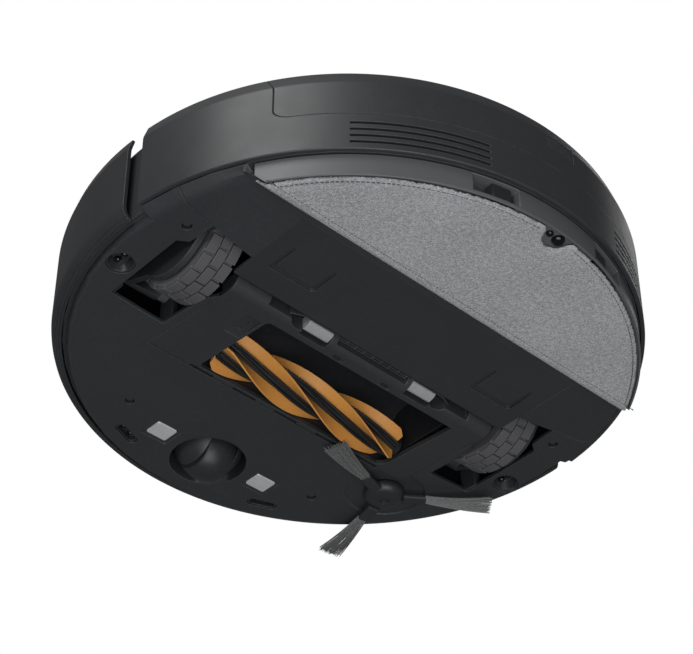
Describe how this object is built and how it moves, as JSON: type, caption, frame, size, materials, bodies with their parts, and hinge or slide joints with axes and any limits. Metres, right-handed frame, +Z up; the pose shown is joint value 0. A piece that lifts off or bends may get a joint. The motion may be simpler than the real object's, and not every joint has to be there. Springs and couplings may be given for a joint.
{
  "type": "robot vacuum",
  "caption": "Round robot vacuum with a sprung bumper, drive wheels, bladed roller, side brush, pull-out dust bin and a clip-on mopping pad.",
  "frame": {"origin": "on the floor, on the axis of the round body", "axes": "+Z up, -Y towards the bumper (forwards), +Y towards the mop, +X to the left side of the robot"},
  "size_m": [0.35, 0.35, 0.096],
  "materials": {
    "belly": "fine-grained moulded ABS, charcoal",
    "shell": "fine-grained moulded ABS, dark grey",
    "bumper": "fine-grained moulded ABS, dark grey",
    "inner": "moulded nylon, near black",
    "rubber": "moulded tread rubber, dusty grey",
    "roller": "soft amber rubber blades",
    "bristle": "bundled nylon bristles",
    "cloth": "woven microfibre",
    "bracket": "moulded ABS, mid grey",
    "latch": "moulded ABS, light grey",
    "gloss": "infrared-clear black polycarbonate",
    "plate": "nickel-plated contact strip",
    "steel": "turned steel",
    "board": "solder-mask green board",
    "cell": "shrink-wrapped cells",
    "filter": "pleated filter paper"
  },
  "bodies": {
    "chassis": {"chassis_tray": "belly", "rear_lower_cover": "belly", "battery_door": "belly", "side_shell": "shell", "top_cover": "shell", "lidar_turret": "shell", "suspension_pin_left": "steel", "charging_contact_left": "plate", "suspension_pin_right": "steel", "charging_contact_right": "plate", "cliff_sensor_rear_left": "gloss", "cliff_sensor_front_left": "gloss", "cliff_sensor_rear_right": "gloss", "cliff_sensor_front_right": "gloss", "brush_chamber": "inner", "air_duct": "inner", "roller_bearing_left": "inner", "roller_bearing_right": "inner", "roller_motor": "inner", "side_brush_motor": "inner", "suction_fan_housing": "inner", "battery_pack": "cell", "main_board": "board"},
    "bumper": {"bumper": "bumper", "dock_sensor_window": "gloss"},
    "power_button": {"power_button": "bumper"},
    "home_button": {"home_button": "bumper"},
    "lidar_rotor": {"lidar_rotor": "inner"},
    "suspension_left": {"wheel_arm_left": "inner", "drive_motor_left": "steel", "suspension_spring_left": "steel"},
    "suspension_right": {"wheel_arm_right": "inner", "drive_motor_right": "steel", "suspension_spring_right": "steel"},
    "wheel_left": {"wheel_hub_left": "inner", "tyre_left": "rubber"},
    "wheel_right": {"wheel_hub_right": "inner", "tyre_right": "rubber"},
    "caster": {"caster_turntable": "inner", "caster_axle": "steel"},
    "caster_wheel": {"caster_wheel": "inner"},
    "guard": {"brush_guard": "belly"},
    "guard_latch_left": {"guard_latch_left": "latch"},
    "guard_latch_right": {"guard_latch_right": "latch"},
    "roller": {"roller_core": "inner", "roller_fins": "roller"},
    "side_brush": {"side_brush_hub": "inner", "bristle_tuft_1": "bristle", "bristle_tuft_2": "bristle", "bristle_tuft_3": "bristle"},
    "fan": {"fan_impeller": "inner"},
    "bin": {"dust_bin": "shell", "bin_filter": "filter", "bin_rear_cover": "shell"},
    "bin_button": {"bin_release_button": "bumper"},
    "mop": {"mop_bracket": "bracket", "mop_pad": "cloth"},
    "mop_latch_left": {"mop_latch_left": "latch"},
    "mop_latch_right": {"mop_latch_right": "latch"}
  },
  "joints": [
    {"name": "bumper_push", "type": "slide", "parent": "chassis", "child": "bumper", "axis": [0, 1, 0], "range_m": [0, 0.0025], "stiffness_N_per_m": 400},
    {"name": "power_press", "type": "slide", "parent": "chassis", "child": "power_button", "axis": [0, 0, -1], "range_m": [0, 0.0008], "stiffness_N_per_m": 600},
    {"name": "home_press", "type": "slide", "parent": "chassis", "child": "home_button", "axis": [0, 0, -1], "range_m": [0, 0.0008], "stiffness_N_per_m": 600},
    {"name": "lidar_spin", "type": "hinge", "parent": "chassis", "child": "lidar_rotor", "pos_m": [0, 0.02, 0.08], "axis": [0, 0, 1], "continuous": true},
    {"name": "suspension_left_drop", "type": "hinge", "parent": "chassis", "child": "suspension_left", "pos_m": [0.12, -0.04, 0.03], "axis": [-1, 0, 0], "range_deg": [0, 18], "stiffness_Nm_per_rad": 0.3, "springref_deg": 34.38},
    {"name": "suspension_right_drop", "type": "hinge", "parent": "chassis", "child": "suspension_right", "pos_m": [-0.12, -0.04, 0.03], "axis": [-1, 0, 0], "range_deg": [0, 18], "stiffness_Nm_per_rad": 0.3, "springref_deg": 34.38},
    {"name": "wheel_left_spin", "type": "hinge", "parent": "suspension_left", "child": "wheel_left", "pos_m": [0.118, 0.002, 0.035], "axis": [1, 0, 0], "continuous": true},
    {"name": "wheel_right_spin", "type": "hinge", "parent": "suspension_right", "child": "wheel_right", "pos_m": [-0.118, 0.002, 0.035], "axis": [1, 0, 0], "continuous": true},
    {"name": "caster_swivel", "type": "hinge", "parent": "chassis", "child": "caster", "pos_m": [0, -0.129, 0.03], "axis": [0, 0, 1], "continuous": true},
    {"name": "caster_roll", "type": "hinge", "parent": "caster", "child": "caster_wheel", "pos_m": [0, -0.129, 0.0185], "axis": [1, 0, 0], "continuous": true},
    {"name": "guard_open", "type": "hinge", "parent": "chassis", "child": "guard", "pos_m": [0, -0.0609, 0.0094], "axis": [-1, 0, 0], "range_deg": [0, 75], "deforming": ["bristle_tuft_1", "bristle_tuft_2", "bristle_tuft_3"]},
    {"name": "guard_latch_left_press", "type": "slide", "parent": "guard", "child": "guard_latch_left", "axis": [0, -1, 0], "range_m": [0, 0.002], "stiffness_N_per_m": 400},
    {"name": "guard_latch_right_press", "type": "slide", "parent": "guard", "child": "guard_latch_right", "axis": [0, -1, 0], "range_m": [0, 0.002], "stiffness_N_per_m": 400},
    {"name": "roller_spin", "type": "hinge", "parent": "chassis", "child": "roller", "pos_m": [-0.007, -0.043, 0.0162], "axis": [1, 0, 0], "continuous": true},
    {"name": "side_brush_spin", "type": "hinge", "parent": "chassis", "child": "side_brush", "pos_m": [-0.1032, -0.0774, 0.01], "axis": [0, 0, 1], "continuous": true, "deforming": ["bristle_tuft_1", "bristle_tuft_2", "bristle_tuft_3"]},
    {"name": "fan_spin", "type": "hinge", "parent": "chassis", "child": "fan", "pos_m": [0.072, 0.108, 0.03], "axis": [0, 0, 1], "continuous": true},
    {"name": "bin_pull", "type": "slide", "parent": "chassis", "child": "bin", "axis": [0, 1, 0], "range_m": [0, 0.115]},
    {"name": "bin_button_press", "type": "slide", "parent": "bin", "child": "bin_button", "axis": [0, -1, 0], "range_m": [0, 0.002], "stiffness_N_per_m": 500},
    {"name": "mop_pull", "type": "slide", "parent": "chassis", "child": "mop", "axis": [0, 1, 0], "range_m": [0, 0.09]},
    {"name": "mop_latch_left_press", "type": "slide", "parent": "mop", "child": "mop_latch_left", "axis": [-1, 0, 0], "range_m": [0, 0.0024], "stiffness_N_per_m": 400},
    {"name": "mop_latch_right_press", "type": "slide", "parent": "mop", "child": "mop_latch_right", "axis": [1, 0, 0], "range_m": [0, 0.0024], "stiffness_N_per_m": 400}
  ]
}
